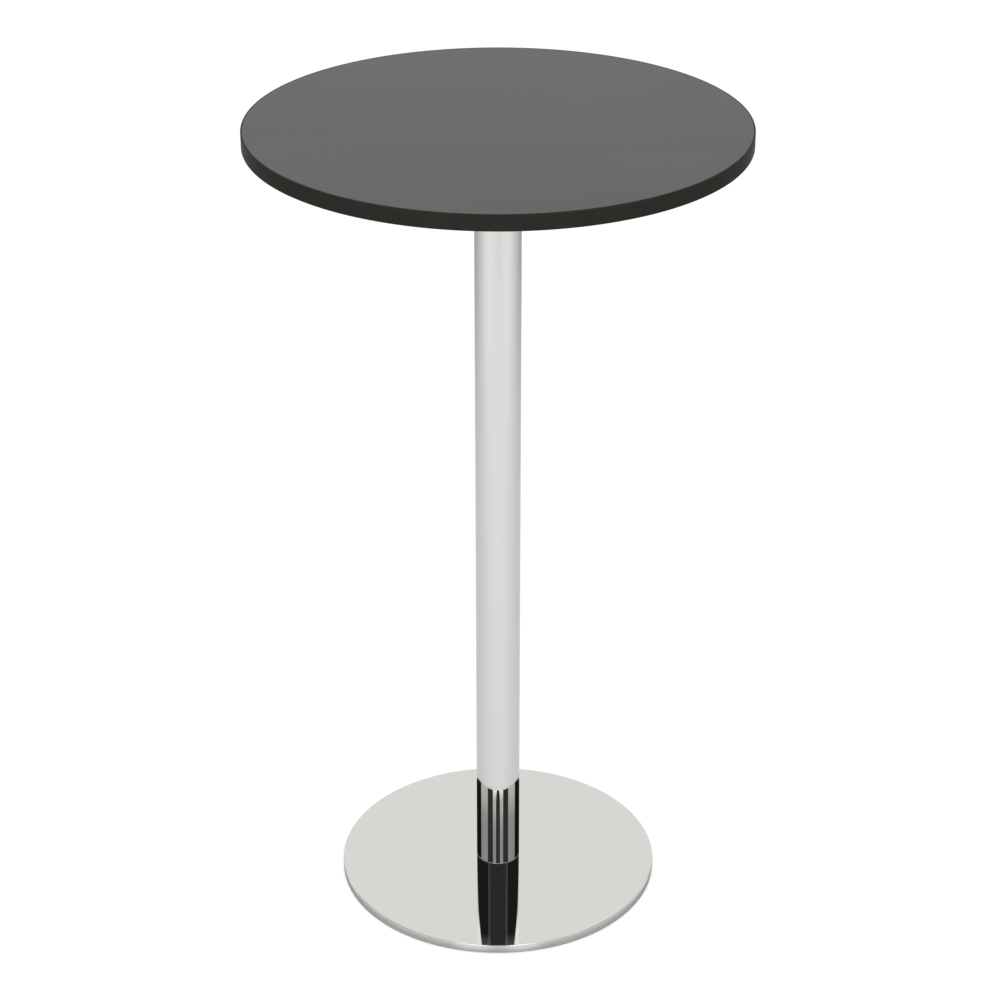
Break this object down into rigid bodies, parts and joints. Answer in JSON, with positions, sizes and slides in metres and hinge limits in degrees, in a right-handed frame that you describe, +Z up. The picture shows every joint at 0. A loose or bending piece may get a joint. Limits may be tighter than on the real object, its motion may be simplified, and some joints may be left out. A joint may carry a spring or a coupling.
{
  "type": "pub table",
  "caption": "Bar-height round pub table: black laminated top on a slim polished tube column and a flat round weighted base with screw levelling glides.",
  "frame": {"origin": "on the floor, under the middle of the column", "axes": "+Z up along the column, +Y away from the picture's viewer, +X to the viewer's right"},
  "size_m": [0.6349, 0.635, 1.1],
  "materials": {
    "black_laminate": "satin black decorative laminate",
    "black_edging": "smooth black edging strip",
    "particle_board": "raw pressed chip board",
    "brass_insert": "turned brass",
    "black_plate": "fine textured black powder coat",
    "zinc_fastener": "bright zinc plated steel",
    "polished_chrome": "mirror polished chrome plate",
    "polished_cover": "mirror polished sheet",
    "plain_steel": "turned mild steel",
    "cast_ballast": "black painted cast iron",
    "glide_plastic": "black nylon"
  },
  "bodies": {
    "table": {"top_laminate": "black_laminate", "top_core": "particle_board", "underside_laminate": "black_laminate", "edge_band": "black_edging", "threaded_inserts": "brass_insert", "mounting_plate": "black_plate", "plate_washers": "zinc_fastener", "plate_screws": "zinc_fastener", "column_tube": "polished_chrome", "column_top_plug": "plain_steel", "column_foot_plug": "plain_steel", "top_plug_screws": "zinc_fastener", "base_screws": "zinc_fastener", "base_cover": "polished_cover", "ballast_plate": "cast_ballast"},
    "glide_pad_1": {"glide_pad_1": "glide_plastic"},
    "glide_stud_1": {"glide_stud_1": "zinc_fastener"},
    "glide_pad_2": {"glide_pad_2": "glide_plastic"},
    "glide_stud_2": {"glide_stud_2": "zinc_fastener"},
    "glide_pad_3": {"glide_pad_3": "glide_plastic"},
    "glide_stud_3": {"glide_stud_3": "zinc_fastener"},
    "glide_pad_4": {"glide_pad_4": "glide_plastic"},
    "glide_stud_4": {"glide_stud_4": "zinc_fastener"}
  },
  "joints": [
    {"name": "glide_1_level", "type": "slide", "parent": "table", "child": "glide_pad_1", "axis": [0, 0, -1], "range_m": [0, 0.005]},
    {"name": "glide_1_turn", "type": "hinge", "parent": "glide_pad_1", "child": "glide_stud_1", "pos_m": [0.12587, 0.12587, 0], "axis": [0, 0, 1], "range_deg": [0, 1440]},
    {"name": "glide_2_level", "type": "slide", "parent": "table", "child": "glide_pad_2", "axis": [0, 0, -1], "range_m": [0, 0.005]},
    {"name": "glide_2_turn", "type": "hinge", "parent": "glide_pad_2", "child": "glide_stud_2", "pos_m": [-0.12587, 0.12587, 0], "axis": [0, 0, 1], "range_deg": [0, 1440]},
    {"name": "glide_3_level", "type": "slide", "parent": "table", "child": "glide_pad_3", "axis": [0, 0, -1], "range_m": [0, 0.005]},
    {"name": "glide_3_turn", "type": "hinge", "parent": "glide_pad_3", "child": "glide_stud_3", "pos_m": [-0.12587, -0.12587, 0], "axis": [0, 0, 1], "range_deg": [0, 1440]},
    {"name": "glide_4_level", "type": "slide", "parent": "table", "child": "glide_pad_4", "axis": [0, 0, -1], "range_m": [0, 0.005]},
    {"name": "glide_4_turn", "type": "hinge", "parent": "glide_pad_4", "child": "glide_stud_4", "pos_m": [0.12587, -0.12587, 0], "axis": [0, 0, 1], "range_deg": [0, 1440]}
  ],
  "couplings": [
    {"joint": "glide_1_turn", "follows": "glide_1_level", "rad_per_m": 5026.5},
    {"joint": "glide_2_turn", "follows": "glide_2_level", "rad_per_m": 5026.5},
    {"joint": "glide_3_turn", "follows": "glide_3_level", "rad_per_m": 5026.5},
    {"joint": "glide_4_turn", "follows": "glide_4_level", "rad_per_m": 5026.5}
  ]
}
